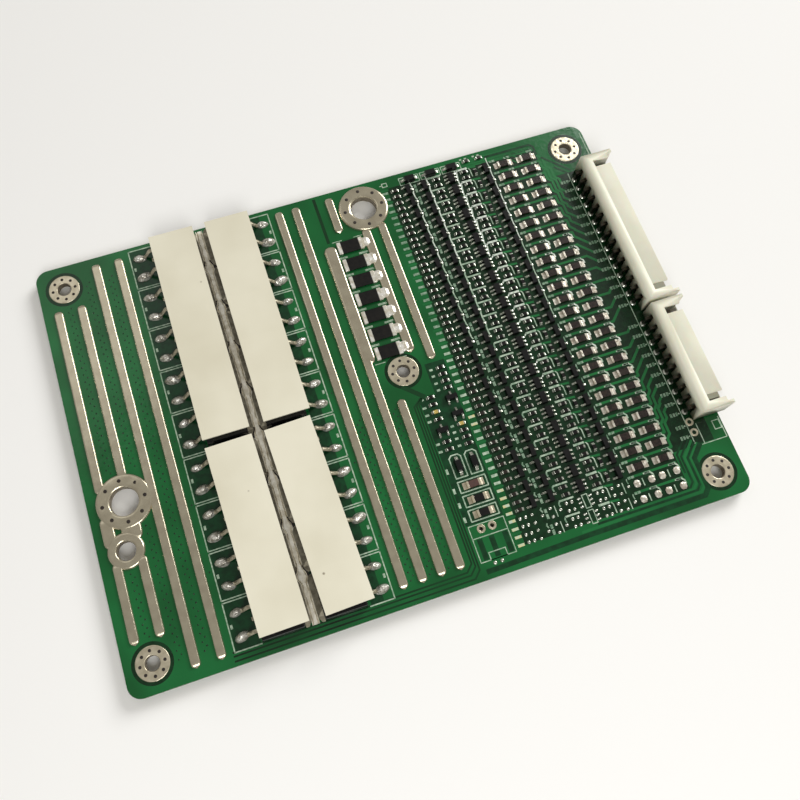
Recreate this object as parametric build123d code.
"""Battery management board: a populated circuit board that protects and balances a pack of cells.

Millimetres. The origin is the centre of the corner screw pattern on the board's under face, +Z is up
and +X points from the power transistors to the wire headers. Rows of parts run from the top edge (+Y) down.
"""

import os

from build123d import *

# Board outline
board_length = 140.0
board_width = 100.0
board_thickness = 1.6
board_corner_radius = 3.0

# Screw holes and their tinned rings
screw_hole_diameter = 3.2
screw_inset = 6.0
screw_ring_diameter = 7.2
ring_height = 0.12
ring_sides = 18
middle_screw_past_shunts = 1.7
middle_screw_from_bottom = 50.0

# Terminal rings: the output ring on the second bar with its wire ring below it, and the battery ring
terminal_hole_diameter = 6.4
terminal_ring_diameter = 12.3
output_terminal_offset = 0.9
output_terminal_from_bottom = 40.3
wire_hole_diameter = 4.2
wire_ring_diameter = 8.0
wire_ring_offset = 2.8
wire_ring_drop = 10.5
battery_terminal_past_return = 1.2
battery_terminal_from_top = 6.8

# Solder bars, all raised from the same stencil
bar_width = 2.1
bar_height = 0.6
bar_edge_slope = 0.35
bar_end_clip = 0.6
land_height = 0.35
left_bar_count = 4
left_bar_inner_top = 11.2
left_bar_inner_bottom = 10.4
left_bar_outer_top = 1.8
left_bar_outer_bottom = 2.2

# Power transistors, two mirrored columns with their tabs in the middle
transistor_gap = 0.66
transistor_from_top = 1.08
transistor_from_bottom = 2.5
tab_gap = 1.6
tab_length = 1.3
tab_thickness = 1.27
tab_side_inset = 0.05
tab_under_body = 7.0
tab_corner_along = 0.6
tab_corner_across = 1.2
body_length = 9.2
body_width = 10.1
body_height = 4.4
body_parting_height = 2.4
body_draft_angle = 6.0
lead_spacing = 2.54
lead_width = 0.8
lead_thickness = 0.5
lead_shoulder = 0.9
lead_reach = 4.8
lead_foot = 2.5
lead_stub = 0.9
joint_width = 1.9
joint_flank = 0.4
joint_height = 1.0
tab_strip_height = 0.7

# Insulating pads, cut by hand and laid on the transistors a little askew
pad_thickness = 0.4
pad_width = 10.5
pad_upper_length = 51.0
pad_gap = 1.8
pad_top_inset = 1.12
pad_bottom_inset = 0.86
pad_left_offset = 6.5
pad_right_offset = 7.1
pad_turns = {"upper_left": -0.5, "upper_right": -0.2, "lower_left": 0.6, "lower_right": 1.6}

# Bars on the right of the transistors
right_bar_count = 2
right_bar_top = 1.4
right_bar_bottom = 3.7
fourth_line_offset = 1.25
short_bar_length = 10.2
low_bar_clearance = 2.6
feed_bar_top = 15.2
return_bar_width = 1.8
return_bar_clearance = 0.4
battery_bar_clearance = 2.1

# Shunts, as many as fit between the battery ring and the middle screw
shunt_gap = 1.563
shunt_length = 6.35
shunt_width = 3.2
shunt_height = 0.65
shunt_cap_length = 0.95
shunt_clearance = 1.25
shunt_land_width = 3.3

# Wire headers: side entry, mating side outward
header_pin_pitch = 2.54
header_pin_size = 0.64
header_pin_elbow = 0.4
header_pin_setback = 7.1
header_end_distance = 2.45
header_height = 6.0
header_rear = 1.0
header_mouth = 8.9
header_roof_mouth = 7.5
header_rear_wall = 2.2
header_wall = 0.9
header_slit_width = 1.6
header_slit_from_end = 2.0
header_slit_depth = 4.0
header_panel_step = 0.25
header_slot_width = 1.3
header_slot_height = 3.9
header_pin_tip_inset = 1.6
header_tail = 1.3
header_hole_diameter = 1.0
header_first_pin_from_top = 15.0
header_gap = 0.76
long_header_count = 15
short_header_count = 10
spare_hole_count = 2
small_hole_sides = 6

# Repeated field of one cell circuit per row
cell_row_count = 24
cell_row_pitch = 3.565
cell_row_from_top = 5.4
small_chip_length = 1.6
small_chip_width = 0.8
small_chip_height = 0.5
small_chip_spread = 0.85

# Small packages
switch_length = 2.9
switch_width = 1.3
switch_height = 1.05
switch_draft_angle = 8.0
monitor_width = 1.6
power_chip_length = 3.2
power_chip_width = 1.6
power_chip_height = 0.6
power_chip_cap = 0.5
chip_lift = 0.05
diode_length = 2.7
diode_width = 1.6
diode_height = 1.15

# Gaps between neighbours along the board, left edge to pin row; they share what the parts leave over
gap_edge_to_bars = 2.45
gap_between_left_bars = 3.3
gap_bars_to_leads = 3.0
gap_leads_to_bars = 2.6
gap_between_right_bars = 2.15
gap_feed_bar_to_shunts = 1.275
gap_shunts_to_return = 1.025
gap_return_to_battery_bar = 2.05
gap_battery_bar_to_filter = 4.25
gap_filter_to_first_switch = 1.8
gap_first_to_second_switch = 2.95
gap_switch_to_pull_up = 1.95
gap_pull_up_to_monitor = 2.05
gap_monitor_to_delay = 2.15
gap_delay_to_gate = 1.6
gap_gate_to_balance_switch = 1.6
gap_switch_to_resistor = 2.6
gap_between_resistors = 2.9
gap_resistor_to_pins = 7.48

# Group of driver parts beside the shunts, in two columns measured up from the bottom edge
driver_left_past_return = 0.3
driver_right_past_bar = 0.9
driver_left_upper = 42.0
driver_left_upper_pitch = 1.8
driver_left_switch = 33.9
driver_left_lower = 31.1
driver_left_lower_pitch = 1.8
driver_right_upper = 48.2
driver_right_upper_pitch = 1.7
driver_right_switch = 40.6
driver_right_second_switch = 36.6
driver_right_lower = 34.1
driver_right_lower_pitch = 1.6
driver_run_count = 4
driver_short_run_count = 2
clamp_diode_offset = 0.9
clamp_diode_pitch = 3.6
clamp_diodes_from_bottom = 25.1
supply_parts_past_return = 2.6
supply_capacitor_from_bottom = 20.4
supply_resistor_from_bottom = 17.1
supply_resistor_pitch = 3.3
programming_hole_diameter = 0.9
programming_hole_pitch = 2.54
programming_hole_offset = 0.7
programming_holes_from_bottom = 10.6

# Input parts along the top edge
input_diode_offset = 1.25
input_diode_pitch = 5.55
input_diode_count = 3
input_diodes_from_top = 2.4
input_chip_past_diodes = 4.2
input_chip_pitch = 3.4
input_chip_count = 2
input_chips_from_top = 1.8

face = board_thickness


def from_left(distance):
    """Row coordinate of a place given by its distance from one board edge."""
    return distance - board_length / 2


def from_right(distance):
    return board_length / 2 - distance


def from_top(distance):
    return board_width / 2 - distance


def from_bottom(distance):
    return distance - board_width / 2


def block(x_low, x_high, y_low, y_high, z_low, z_high):
    """Rectangular solid between two corners."""
    size = (x_high - x_low, y_high - y_low, z_high - z_low)
    return Pos(x_low, y_low, z_low) * Box(*size, align=(Align.MIN, Align.MIN, Align.MIN))


def profile_along_y(points, width):
    """Solid whose XZ outline is drawn by points, centred on Y."""
    outline = make_face(Polyline(*[(x, 0, z) for x, z in points], close=True))
    return extrude(outline, amount=width / 2, dir=(0, 1, 0), both=True)


def disc(x, y, diameter, z_low, height):
    centred = (Align.CENTER, Align.CENTER, Align.MIN)
    return Pos(x, y, z_low) * Cylinder(diameter / 2, height, align=centred)


def prism(x, y, diameter, sides, z_low, height):
    """Many-sided stand-in for a small disc; the flats lie on the diameter."""
    outline = RegularPolygon(diameter / 2, sides, major_radius=False)
    return Pos(x, y, z_low) * extrude(outline, amount=height)


def save(name, solids):
    """Write one node; repeats stay separate solids."""
    shape = solids if isinstance(solids, (Part, Solid)) else Compound(children=list(solids))
    export_step(shape, f"parts/{name}.step")


# Line of parts along the board, each with the gap before it and its width

left_bar_pitch = bar_width + gap_between_left_bars
right_bar_pitch = bar_width + gap_between_right_bars
transistor_reach = tab_length + body_length + lead_reach
board_line = (
    ("left_bars", gap_edge_to_bars, (left_bar_count - 1) * left_bar_pitch + bar_width),
    ("transistors", gap_bars_to_leads, tab_gap + 2 * transistor_reach),
    ("right_bars", gap_leads_to_bars, (right_bar_count - 1) * right_bar_pitch + bar_width),
    ("feed_bar", gap_between_right_bars, bar_width),
    ("shunts", gap_feed_bar_to_shunts, shunt_length),
    ("return_bar", gap_shunts_to_return, return_bar_width),
    ("battery_bar", gap_return_to_battery_bar, bar_width),
    ("filter_chips", gap_battery_bar_to_filter, small_chip_length),
    ("first_switches", gap_filter_to_first_switch, switch_width),
    ("second_switches", gap_first_to_second_switch, switch_width),
    ("pull_up_chips", gap_switch_to_pull_up, small_chip_length),
    ("monitors", gap_pull_up_to_monitor, monitor_width),
    ("delay_chips", gap_monitor_to_delay, small_chip_length),
    ("gate_chips", gap_delay_to_gate, small_chip_width),
    ("balance_switches", gap_gate_to_balance_switch, switch_width),
    ("first_resistors", gap_switch_to_resistor, power_chip_length),
    ("second_resistors", gap_between_resistors, power_chip_length),
    ("pins", gap_resistor_to_pins, header_pin_size),
)


def centres_along(line, length):
    """Centre of each part of a line that fills a length, its gaps eased to share what is left over."""
    parts = sum(width for name, gap, width in line)
    ease = (length - parts) / sum(gap for name, gap, width in line)
    centres = {}
    reached = 0
    for name, gap, width in line:
        centres[name] = from_left(reached + gap * ease + width / 2)
        reached += gap * ease + width
    return centres


line_x = centres_along(board_line, board_length - header_pin_setback + header_pin_size / 2)
header_x = line_x["pins"]
transistor_centre = line_x["transistors"]
shunt_x = line_x["shunts"]
feed_x = line_x["feed_bar"]
return_x = line_x["return_bar"]
battery_bar_x = line_x["battery_bar"]
fourth_line_x = shunt_x - fourth_line_offset


def left_bar_x(index):
    return line_x["left_bars"] + (index - (left_bar_count - 1) / 2) * left_bar_pitch


def right_bar_x(index):
    return line_x["right_bars"] + (index - (right_bar_count - 1) / 2) * right_bar_pitch


# Places that several pieces share

middle_screw = (shunt_x + middle_screw_past_shunts, from_bottom(middle_screw_from_bottom))
output_place = (left_bar_x(1) - output_terminal_offset, from_bottom(output_terminal_from_bottom))
wire_place = (left_bar_x(1) - wire_ring_offset, output_place[1] - wire_ring_drop)
battery_place = (return_x + battery_terminal_past_return, from_top(battery_terminal_from_top))
screw_ring_radius = screw_ring_diameter / 2


def screw_places():
    """Four corners, then the screw near the middle."""
    columns = (from_left(screw_inset), from_right(screw_inset))
    rows = (from_top(screw_inset), from_bottom(screw_inset))
    return [(x, y) for x in columns for y in rows] + [middle_screw]


long_header_first = from_top(header_first_pin_from_top)
header_step = 2 * header_end_distance + header_gap
short_header_first = long_header_first - (long_header_count - 1) * header_pin_pitch - header_step


def rows_down(first_y, pitch, count):
    """Row coordinates of a pattern that runs down the board."""
    return [first_y - index * pitch for index in range(count)]


long_pins = rows_down(long_header_first, header_pin_pitch, long_header_count)
short_pins = rows_down(short_header_first, header_pin_pitch, short_header_count)
spare_pins = rows_down(short_pins[-1] - header_pin_pitch, header_pin_pitch, spare_hole_count)
cell_rows = rows_down(from_top(cell_row_from_top), cell_row_pitch, cell_row_count)

# Two patterns hold as many pieces as fit between their neighbours
tab_width = body_width - 2 * tab_side_inset
transistor_pitch = body_width + transistor_gap
transistor_room = board_width - transistor_from_top - transistor_from_bottom + transistor_gap
transistor_first = from_top(transistor_from_top + body_width / 2)
transistor_rows = rows_down(transistor_first, transistor_pitch, int(transistor_room / transistor_pitch))

shunt_pitch = shunt_width + shunt_gap
shunt_high = battery_place[1] - terminal_ring_diameter / 2 - shunt_clearance
shunt_room = shunt_high - middle_screw[1] - screw_ring_radius + shunt_gap
shunt_rows = rows_down(shunt_high - shunt_width / 2, shunt_pitch, int(shunt_room / shunt_pitch))


def programming_places():
    x = return_x + programming_hole_offset
    y = from_bottom(programming_holes_from_bottom)
    return [(x + step * programming_hole_pitch, y) for step in range(2)]


# Board

def circuit_board():
    centred = (Align.CENTER, Align.CENTER, Align.MIN)
    blank = Box(board_length, board_width, board_thickness, align=centred)
    blank = fillet(blank.edges().filter_by(Axis.Z), board_corner_radius)
    holes = [disc(x, y, screw_hole_diameter, 0, board_thickness) for x, y in screw_places()]
    for x, y in (output_place, battery_place):
        holes.append(disc(x, y, terminal_hole_diameter, 0, board_thickness))
    holes.append(disc(*wire_place, wire_hole_diameter, 0, board_thickness))
    for y in long_pins + short_pins + spare_pins:
        holes.append(prism(header_x, y, header_hole_diameter, small_hole_sides, 0, board_thickness))
    for x, y in programming_places():
        holes.append(prism(x, y, programming_hole_diameter, small_hole_sides, 0, board_thickness))
    return blank - holes


def screw_ring(place):
    outer = prism(*place, screw_ring_diameter, ring_sides, face, ring_height)
    inner = prism(*place, screw_hole_diameter, ring_sides, face, ring_height)
    return outer - inner


def screw_rings():
    return [screw_ring(place) for place in screw_places()]


# Solder bars and lands

def bar(x, y_low, y_high, width=bar_width):
    """Bar of solder with clipped ends and a crowned top, from y_low to y_high."""
    outline = chamfer(Rectangle(width, y_high - y_low).vertices(), bar_end_clip)
    blank = Pos(x, (y_low + y_high) / 2, face) * extrude(outline, amount=bar_height)
    crown = blank.faces().sort_by(Axis.Z)[-1].edges()
    return chamfer(crown, bar_edge_slope)


def output_land():
    """Terminal ring, wire ring and the three bars that run through them, flowed into one land."""
    low, high = from_bottom(left_bar_inner_bottom), from_top(left_bar_inner_top)
    inner = [bar(left_bar_x(index), low, high) for index in range(2)]
    outer = bar(left_bar_x(2), from_bottom(left_bar_outer_bottom), from_top(left_bar_outer_top))
    rings = [
        prism(*output_place, terminal_ring_diameter, ring_sides, face, land_height),
        prism(*wire_place, wire_ring_diameter, ring_sides, face, land_height),
    ]
    bores = [
        prism(*output_place, terminal_hole_diameter, ring_sides, face, bar_height),
        prism(*wire_place, wire_hole_diameter, ring_sides, face, bar_height),
    ]
    # The bars sink into the flat ring where they cross it.
    clearing = prism(*output_place, terminal_ring_diameter, ring_sides, face + land_height, bar_height)
    return inner[0] + inner[1] + outer + rings - clearing - bores


def fourth_left_bar():
    x = left_bar_x(left_bar_count - 1)
    return bar(x, from_bottom(left_bar_outer_bottom), from_top(left_bar_outer_top))


def right_bars():
    """Two long bars, and the short and the low one in the fourth line."""
    low, high = from_bottom(right_bar_bottom), from_top(right_bar_top)
    long_bars = [bar(right_bar_x(index), low, high) for index in range(right_bar_count)]
    short_bar = bar(fourth_line_x, high - short_bar_length, high)
    low_bar = bar(fourth_line_x, low, middle_screw[1] - screw_ring_radius - low_bar_clearance)
    return long_bars + [short_bar, low_bar]


def shunt_lands(x_low, x_high):
    return [
        block(x_low, x_high, y - shunt_land_width / 2, y + shunt_land_width / 2, face, face + ring_height)
        for y in shunt_rows
    ]


shunt_inner = shunt_length / 2 - shunt_cap_length


def shunt_feed_bar():
    lands = shunt_lands(feed_x, shunt_x - shunt_inner)
    return bar(feed_x, from_bottom(right_bar_bottom), from_top(feed_bar_top)) + lands


def battery_land():
    """Battery ring, the bar behind the shunts and the second bar beside it."""
    return_low = middle_screw[1] + screw_ring_radius + return_bar_clearance
    second_low = from_bottom(driver_right_upper) + small_chip_width / 2 + battery_bar_clearance
    return_bar = bar(return_x, return_low, battery_place[1], return_bar_width)
    second = bar(battery_bar_x, second_low, battery_place[1])
    ring = prism(*battery_place, terminal_ring_diameter, ring_sides, face, land_height)
    clearing = prism(*battery_place, terminal_ring_diameter, ring_sides, face + land_height, bar_height)
    bore = prism(*battery_place, terminal_hole_diameter, ring_sides, face, bar_height)
    lands = shunt_lands(shunt_x + shunt_inner, return_x)
    return return_bar + second + ring + lands - clearing - bore


# Power transistors, built with the tab edge at x = 0 and the leads along +X

body_start = tab_length
body_end = body_start + body_length


def transistor_tab():
    """Copper plate that the body is moulded on, its free end clipped at both corners."""
    half = tab_width / 2
    outline = Polyline(
        (0, -half + tab_corner_across),
        (tab_corner_along, -half),
        (tab_length + tab_under_body, -half),
        (tab_length + tab_under_body, half),
        (tab_corner_along, half),
        (0, half - tab_corner_across),
        close=True,
    )
    return extrude(make_face(outline), amount=tab_thickness)


def transistor_lead():
    """Formed leg: out of the body, down a slope and flat on its land."""
    tip = body_end + lead_reach
    foot_start = tip - lead_foot
    bend = body_end + lead_shoulder
    return profile_along_y(
        [
            (body_end, body_parting_height - lead_thickness / 2),
            (bend, body_parting_height - lead_thickness / 2),
            (foot_start, 0),
            (tip, 0),
            (tip, lead_thickness),
            (foot_start + lead_thickness / 2, lead_thickness),
            (bend + lead_thickness / 2, body_parting_height + lead_thickness / 2),
            (body_end, body_parting_height + lead_thickness / 2),
        ],
        lead_width,
    )


def transistor_stub():
    """Middle leg, cut off close to the body."""
    low = body_parting_height - lead_thickness / 2
    half = lead_width / 2
    return block(body_end, body_end + lead_stub, -half, half, low, low + lead_thickness)


def transistor_body():
    """Moulded block on the tab: upright below the parting line, drafted above it."""
    middle = (body_start + body_end) / 2
    lower = Pos(middle, 0, body_parting_height / 2) * Box(body_length, body_width, body_parting_height)
    outline = Pos(middle, 0, body_parting_height) * Rectangle(body_length, body_width)
    upper = extrude(outline, amount=body_height - body_parting_height, taper=body_draft_angle)
    return lower + upper - transistor_tab()


def solder_joint():
    """Heap of solder astride a leg's foot, from the bend to the tip."""
    start = body_end + lead_reach - lead_foot + lead_thickness / 2
    base = joint_width / 2
    crest = base - joint_flank
    half_lead = lead_width / 2
    outline = Polyline(
        (0, -base, 0),
        (0, -crest, joint_height),
        (0, crest, joint_height),
        (0, base, 0),
        (0, half_lead, 0),
        (0, half_lead, lead_thickness),
        (0, -half_lead, lead_thickness),
        (0, -half_lead, 0),
        close=True,
    )
    length = body_end + lead_reach - start
    return Pos(start, 0, 0) * extrude(make_face(outline), amount=length, dir=(1, 0, 0))


def transistor_places(side):
    """Place of each device on one side: -1 left, +1 right, with its leads outward."""
    turn = 0 if side > 0 else 180
    x = transistor_centre + side * tab_gap / 2
    return [Pos(x, y, face) * Rot(0, 0, turn) for y in transistor_rows]


def lead_offsets():
    return (-lead_spacing, lead_spacing)


def transistor_column(side, piece):
    return [place * piece for place in transistor_places(side)]


def lead_column(side):
    leads = []
    for place in transistor_places(side):
        leads += [place * Pos(0, offset, 0) * transistor_lead() for offset in lead_offsets()]
        leads.append(place * transistor_stub())
    return leads


def joint_column(side):
    pair = [Pos(0, offset, 0) * solder_joint() for offset in lead_offsets()]
    return [place * heap for place in transistor_places(side) for heap in pair]


def tab_solder_strip():
    """Solder that fills the channel between the tabs and the notches at their clipped corners."""
    half_gap = tab_gap / 2
    high = transistor_rows[0] + tab_width / 2
    low = transistor_rows[-1] - tab_width / 2
    x_low = transistor_centre - half_gap
    x_high = transistor_centre + half_gap
    strip = block(x_low, x_high, low, high, face, face + tab_strip_height)
    half_space = (transistor_pitch - tab_width) / 2
    reach = half_gap + tab_corner_along
    for row in transistor_rows[:-1]:
        y = row - transistor_pitch / 2
        notch = Polyline(
            (-half_gap, half_space + tab_corner_across),
            (-reach, half_space),
            (-reach, -half_space),
            (-half_gap, -half_space - tab_corner_across),
            (half_gap, -half_space - tab_corner_across),
            (reach, -half_space),
            (reach, half_space),
            (half_gap, half_space + tab_corner_across),
            close=True,
        )
        strip += Pos(transistor_centre, y, face) * extrude(make_face(notch), amount=tab_strip_height)
    return strip


def insulating_pad(name):
    """One cream sheet lying on a run of transistor bodies."""
    high = transistor_rows[0] + body_width / 2 - pad_top_inset
    low = high - pad_upper_length
    if name.startswith("lower"):
        high = low - pad_gap
        low = transistor_rows[-1] - body_width / 2 + pad_bottom_inset
    offset = -pad_left_offset if name.endswith("left") else pad_right_offset
    sheet = extrude(Rectangle(pad_width, high - low), amount=pad_thickness)
    middle = (high + low) / 2
    return Pos(transistor_centre + offset, middle, face + body_height) * Rot(0, 0, pad_turns[name]) * sheet


# Chips

def chip_body(length, width, height, cap_length, lift):
    """Ceramic bar between the end caps, lifted clear of what the caps stand on."""
    half = length / 2 - cap_length
    return block(-half, half, -width / 2, width / 2, lift, height)


def chip_caps(length, width, height, cap_length):
    """The two tinned ends."""
    cap = block(length / 2 - cap_length, length / 2, -width / 2, width / 2, 0, height)
    return [cap, Rot(0, 0, 180) * cap]


shunt_size = (shunt_length, shunt_width, shunt_height, shunt_cap_length)
power_chip_size = (power_chip_length, power_chip_width, power_chip_height, power_chip_cap)


def shunt_places():
    return [Pos(shunt_x, y, face + ring_height) for y in shunt_rows]


def balance_places():
    columns = (line_x["first_resistors"], line_x["second_resistors"])
    return [Pos(x, y, face) for y in cell_rows for x in columns]


supply_x = return_x + supply_parts_past_return


def supply_resistor_places():
    rows = rows_down(from_bottom(supply_resistor_from_bottom), supply_resistor_pitch, driver_short_run_count)
    return [Pos(supply_x, y, face) for y in rows]


def supply_capacitor_places():
    return [Pos(supply_x, from_bottom(supply_capacitor_from_bottom), face)]


def repeat(places, pieces):
    return [place * piece for place in places for piece in pieces]


def small_chip():
    centred = (Align.CENTER, Align.CENTER, Align.MIN)
    return Box(small_chip_length, small_chip_width, small_chip_height, align=centred)


def small_chip_pairs(x):
    """Two small chips across the row, one above and one below its centre line."""
    chip = small_chip()
    return [Pos(x, y + side * small_chip_spread, face) * chip for y in cell_rows for side in (1, -1)]


def gate_chips():
    """One small chip per row, turned along the column."""
    chip = Rot(0, 0, 90) * small_chip()
    return [Pos(line_x["gate_chips"], y, face) * chip for y in cell_rows]


def package(length, width, height):
    """Small moulded package with drafted sides."""
    return extrude(Rectangle(width, length), amount=height, taper=switch_draft_angle)


def package_column(x, width):
    """One package per row, its leads to the left and right."""
    body = package(switch_length, width, switch_height)
    return [Pos(x, y, face) * body for y in cell_rows]


driver_left_x = return_x + driver_left_past_return
driver_right_x = battery_bar_x + driver_right_past_bar


def driver_transistors():
    body = package(switch_width, switch_length, switch_height)
    left = [Pos(driver_left_x, from_bottom(driver_left_switch), face)]
    distances = (driver_right_switch, driver_right_second_switch)
    right = [Pos(driver_right_x, from_bottom(distance), face) for distance in distances]
    return [place * body for place in left + right]


def driver_chips():
    """Two runs of chips in each column, one above and one below the transistors."""
    chip = small_chip()
    runs = (
        (driver_left_x, driver_left_upper, driver_left_upper_pitch, driver_run_count),
        (driver_left_x, driver_left_lower, driver_left_lower_pitch, driver_short_run_count),
        (driver_right_x, driver_right_upper, driver_right_upper_pitch, driver_run_count),
        (driver_right_x, driver_right_lower, driver_right_lower_pitch, driver_run_count),
    )
    chips = []
    for x, first, pitch, count in runs:
        chips += [Pos(x, y, face) * chip for y in rows_down(from_bottom(first), pitch, count)]
    return chips


def clamp_diodes():
    body = package(diode_length, diode_width, diode_height)
    y = from_bottom(clamp_diodes_from_bottom)
    first = return_x + clamp_diode_offset
    return [Pos(first + index * clamp_diode_pitch, y, face) * body for index in range(2)]


input_diode_xs = [
    line_x["first_switches"] + input_diode_offset + index * input_diode_pitch
    for index in range(input_diode_count)
]


def input_diodes():
    body = package(diode_width, diode_length, diode_height)
    y = from_top(input_diodes_from_top)
    return [Pos(x, y, face) * body for x in input_diode_xs]


def input_chips():
    chip = small_chip()
    first = input_diode_xs[-1] + input_chip_past_diodes
    y = from_top(input_chips_from_top)
    return [Pos(first + index * input_chip_pitch, y, face) * chip for index in range(input_chip_count)]


# Wire headers, built with the pin row at x = 0 and the mouth along +X

def header_housing(pins):
    """Side-entry shroud round a row of pins: roof with two keying slits, floor, end walls and comb back."""
    high = pins[0] + header_end_distance
    low = pins[-1] - header_end_distance
    inner_high = high - header_wall
    inner_low = low + header_wall
    cavity_start = header_rear + header_rear_wall
    roof_inner = header_height - header_wall
    shell = block(header_rear, header_mouth, low, high, 0, header_height)
    shell -= block(cavity_start, header_mouth, inner_low, inner_high, header_wall, roof_inner)
    shell -= block(header_roof_mouth, header_mouth, inner_low, inner_high, header_wall, header_height)
    slit_start = header_roof_mouth - header_slit_depth
    slit_outer = header_slit_from_end
    slit_inner = header_slit_from_end + header_slit_width
    mouth = header_roof_mouth
    shell -= block(slit_start, mouth, high - slit_inner, high - slit_outer, roof_inner, header_height)
    shell -= block(slit_start, mouth, low + slit_outer, low + slit_inner, roof_inner, header_height)
    # The roof between the slits is set down by a small step.
    step = header_height - header_panel_step
    shell -= block(slit_start, mouth, low + slit_inner, high - slit_inner, step, header_height)
    half_slot = header_slot_width / 2
    half_pin = header_pin_size / 2
    pin_height = header_height / 2
    for y in pins:
        slot_end = header_rear + header_rear_wall / 2
        shell -= block(header_rear, slot_end, y - half_slot, y + half_slot, 0, header_slot_height)
        pin_low = pin_height - half_pin
        pin_high = pin_height + half_pin
        shell -= block(slot_end, cavity_start, y - half_pin, y + half_pin, pin_low, pin_high)
    return Pos(header_x, 0, face) * shell


def header_pins(pins):
    """Square pins, level in the shroud, turned down behind it and through the board."""
    half = header_pin_size / 2
    level = header_height / 2
    tip = header_mouth - header_pin_tip_inset
    tail = -board_thickness - header_tail
    elbow = header_pin_elbow
    outline = [
        (-half, tail),
        (half, tail),
        (half, level - half),
        (tip, level - half),
        (tip, level + half),
        (-half + elbow, level + half),
        (-half, level + half - elbow),
    ]
    pin = profile_along_y(outline, header_pin_size)
    return [Pos(header_x, y, face) * pin for y in pins]


def main():
    os.makedirs("parts", exist_ok=True)
    save("circuit_board", circuit_board())
    save("screw_rings", screw_rings())
    save("output_land", output_land())
    save("fourth_left_bar", fourth_left_bar())
    save("right_bars", right_bars())
    save("shunt_feed_bar", shunt_feed_bar())
    save("battery_land", battery_land())
    for name, side in (("left", -1), ("right", 1)):
        save(f"transistor_bodies_{name}", transistor_column(side, transistor_body()))
        save(f"transistor_tabs_{name}", transistor_column(side, transistor_tab()))
        save(f"transistor_leads_{name}", lead_column(side))
        save(f"solder_joints_{name}", joint_column(side))
    save("tab_solder_strip", tab_solder_strip())
    for name in pad_turns:
        save(f"insulating_pad_{name}", insulating_pad(name))
    supply_places = supply_capacitor_places() + supply_resistor_places()
    shunt_body = chip_body(*shunt_size, chip_lift)
    power_body = chip_body(*power_chip_size, chip_lift)
    save("shunt_bodies", repeat(shunt_places(), [shunt_body]))
    save("shunt_caps", repeat(shunt_places(), chip_caps(*shunt_size)))
    save("balance_resistor_bodies", repeat(balance_places(), [power_body]))
    save("balance_resistor_caps", repeat(balance_places(), chip_caps(*power_chip_size)))
    save("supply_capacitor_body", repeat(supply_capacitor_places(), [power_body]))
    save("supply_resistor_bodies", repeat(supply_resistor_places(), [power_body]))
    save("supply_part_caps", repeat(supply_places, chip_caps(*power_chip_size)))
    save("filter_chips", small_chip_pairs(line_x["filter_chips"]))
    save("first_switch_transistors", package_column(line_x["first_switches"], switch_width))
    save("second_switch_transistors", package_column(line_x["second_switches"], switch_width))
    save("pull_up_chips", small_chip_pairs(line_x["pull_up_chips"]))
    save("cell_monitors", package_column(line_x["monitors"], monitor_width))
    save("delay_chips", small_chip_pairs(line_x["delay_chips"]))
    save("gate_chips", gate_chips())
    save("balance_switch_transistors", package_column(line_x["balance_switches"], switch_width))
    save("driver_transistors", driver_transistors())
    save("driver_chips", driver_chips())
    save("clamp_diodes", clamp_diodes())
    save("input_diodes", input_diodes())
    save("input_chips", input_chips())
    save("long_header_housing", header_housing(long_pins))
    save("short_header_housing", header_housing(short_pins))
    save("long_header_pins", header_pins(long_pins))
    save("short_header_pins", header_pins(short_pins))


if __name__ == "__main__":
    main()
